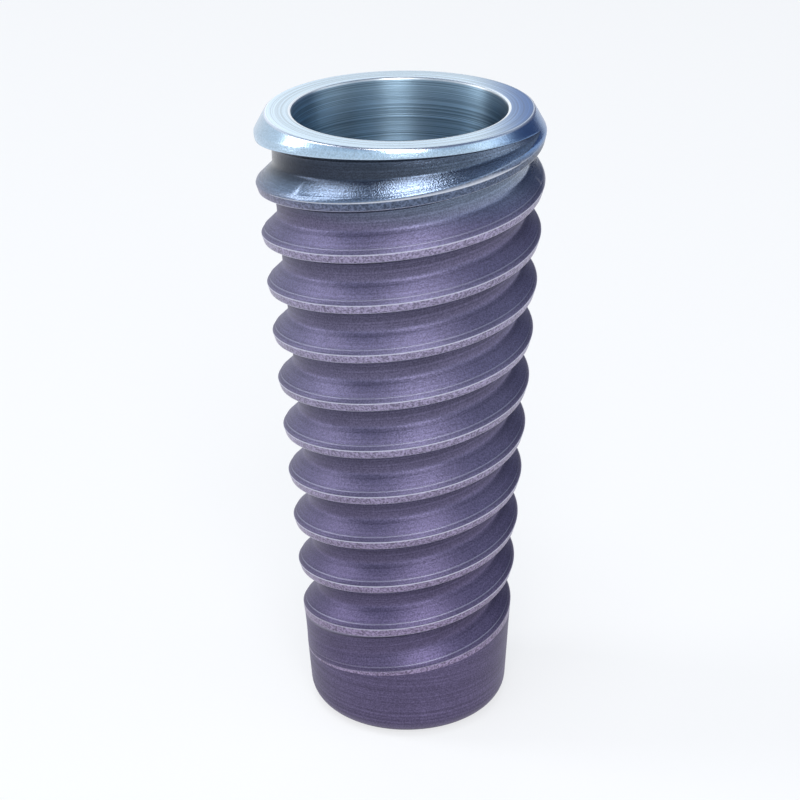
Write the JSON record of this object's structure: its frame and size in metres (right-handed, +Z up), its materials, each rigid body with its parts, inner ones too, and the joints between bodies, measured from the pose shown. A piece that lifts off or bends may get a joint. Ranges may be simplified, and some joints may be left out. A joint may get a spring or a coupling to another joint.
{
  "type": "dental implant",
  "caption": "Root-form dental implant: tapered titanium body with a double-start thread, a bevelled collar, a turned seat, an internal hexagon and a bore for the retaining screw.",
  "frame": {"origin": "centre of the flat apex, on the implant's axis", "axes": "+Z up along the axis, from the apex to the platform that carries the post; -Y is the side where the first thread begins to run out into the collar, and +X is where it closes"},
  "size_m": [0.0044, 0.0044, 0.01],
  "materials": {
    "titanium": "turned platform and seat, blasted bevel, etched purple-grey thread"
  },
  "bodies": {
    "root": {"implant_fixture": "titanium"}
  },
  "joints": []
}
